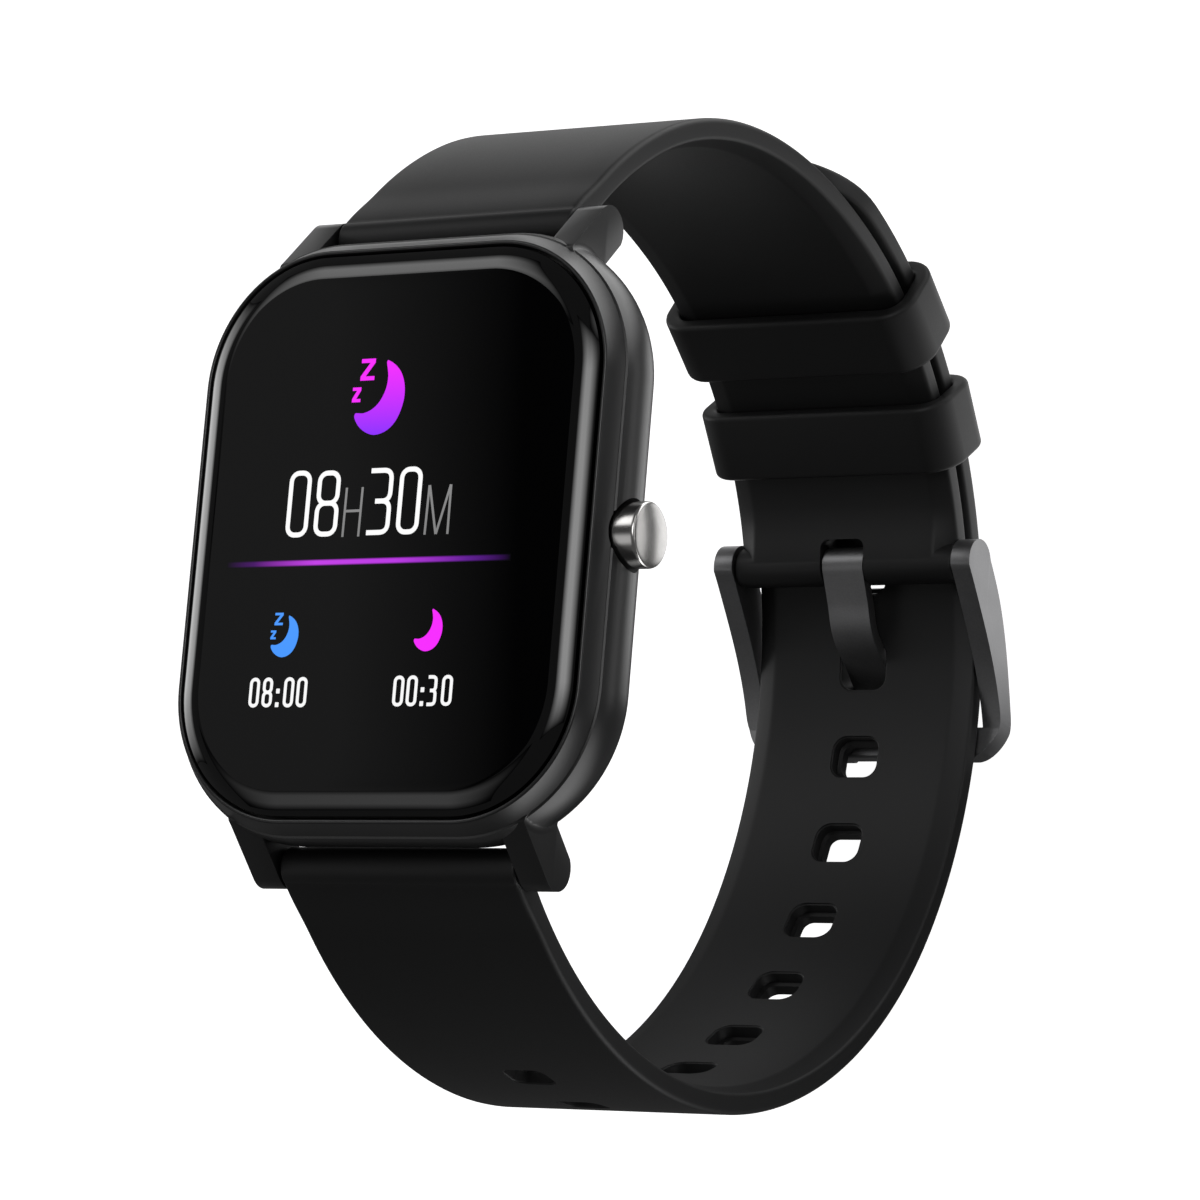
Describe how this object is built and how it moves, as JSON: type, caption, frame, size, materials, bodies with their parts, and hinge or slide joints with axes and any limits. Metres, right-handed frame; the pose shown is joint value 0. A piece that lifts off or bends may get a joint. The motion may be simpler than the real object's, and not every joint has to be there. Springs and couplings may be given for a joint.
{
  "type": "smartwatch",
  "caption": "Rounded square smartwatch with curved cover glass, side button and a closed two-piece silicone strap with pin buckle and loops.",
  "frame": {"origin": "centre of the flat sensor window on the case back, which rests on the wrist", "axes": "+X to the 3 o'clock side with the button, +Y to the 12 o'clock end, +Z out of the display"},
  "size_m": [0.0378, 0.0755, 0.0755],
  "materials": {
    "satin_black_case": "satin black coating",
    "cover_glass": "glossy black glass",
    "polished_steel": "polished",
    "black_silicone": "matte silicone",
    "dark_buckle_metal": "dark grey satin",
    "bar_steel": "fine brushed",
    "seal_rubber": "matte",
    "display_laminate": "glossy laminate",
    "circuit_board": "solder mask",
    "tin_plate": "tinned",
    "cell_foil": "foil",
    "frame_plastic": "moulded",
    "gold_contact": "gold plated",
    "back_plastic": "satin moulded",
    "sensor_resin": "clear dark resin",
    "flex_film": "polyimide film",
    "lamp_resin": "clear resin"
  },
  "bodies": {
    "watch": {"case_body": "satin_black_case", "display_glass": "cover_glass", "lens_gasket": "seal_rubber", "display_panel": "display_laminate", "display_flex": "flex_film", "inner_frame": "frame_plastic", "frame_screw_1": "bar_steel", "frame_screw_2": "bar_steel", "frame_screw_3": "bar_steel", "frame_screw_4": "bar_steel", "main_board": "circuit_board", "shield_can": "tin_plate", "battery": "cell_foil", "vibration_motor": "tin_plate", "back_cover": "back_plastic", "back_seal": "seal_rubber", "sensor_window": "sensor_resin", "sensor_board": "circuit_board", "sensor_led_1": "lamp_resin", "sensor_led_2": "lamp_resin", "photodiode": "sensor_resin", "charge_contact_1": "gold_contact", "charge_contact_2": "gold_contact", "button_seal": "seal_rubber", "side_switch": "frame_plastic", "upper_strap": "black_silicone", "lower_strap": "black_silicone", "bar_tube_upper": "bar_steel", "bar_spring_upper": "bar_steel", "bar_tube_lower": "bar_steel", "bar_spring_lower": "bar_steel", "buckle_pin": "bar_steel"},
    "button": {"button_cap": "polished_steel", "button_clip": "bar_steel"},
    "plunger": {"switch_plunger": "lamp_resin"},
    "release_upper": {"bar_pin_upper": "bar_steel"},
    "release_lower": {"bar_pin_lower": "bar_steel"},
    "inner_loop": {"keeper_inner": "black_silicone"},
    "outer_loop": {"keeper_outer": "black_silicone"},
    "buckle": {"buckle_frame": "dark_buckle_metal"},
    "tang": {"buckle_tang": "dark_buckle_metal"}
  },
  "joints": [
    {"name": "button_press", "type": "slide", "parent": "watch", "child": "button", "axis": [-1, 0, 0], "range_m": [0, 0.00035], "stiffness_N_per_m": 3000},
    {"name": "switch_press", "type": "slide", "parent": "watch", "child": "plunger", "axis": [-1, 0, 0], "range_m": [0, 0.00035]},
    {"name": "release_slide_upper", "type": "slide", "parent": "watch", "child": "release_upper", "axis": [1, 0, 0], "range_m": [0, 0.0011], "stiffness_N_per_m": 600, "deforming": ["bar_spring_upper"]},
    {"name": "release_slide_lower", "type": "slide", "parent": "watch", "child": "release_lower", "axis": [1, 0, 0], "range_m": [0, 0.0011], "stiffness_N_per_m": 600, "deforming": ["bar_spring_lower"]},
    {"name": "inner_loop_slide", "type": "hinge", "parent": "watch", "child": "inner_loop", "pos_m": [0, 0.0007, -0.02408], "axis": [1, 0, 0], "range_deg": [-3, 2.5]},
    {"name": "outer_loop_slide", "type": "hinge", "parent": "watch", "child": "outer_loop", "pos_m": [0, 0.0007, -0.02408], "axis": [1, 0, 0], "range_deg": [-2.5, 8]},
    {"name": "buckle_swing", "type": "hinge", "parent": "watch", "child": "buckle", "pos_m": [0, 0.01072, -0.05684], "axis": [1, 0, 0], "range_deg": [0, 1.5]},
    {"name": "tang_swing", "type": "hinge", "parent": "watch", "child": "tang", "pos_m": [0, 0.01072, -0.05684], "axis": [1, 0, 0], "range_deg": [0, 1.5]}
  ],
  "couplings": [
    {"joint": "switch_press", "follows": "button_press", "ratio": 1},
    {"joint": "tang_swing", "follows": "buckle_swing", "ratio": 1}
  ]
}
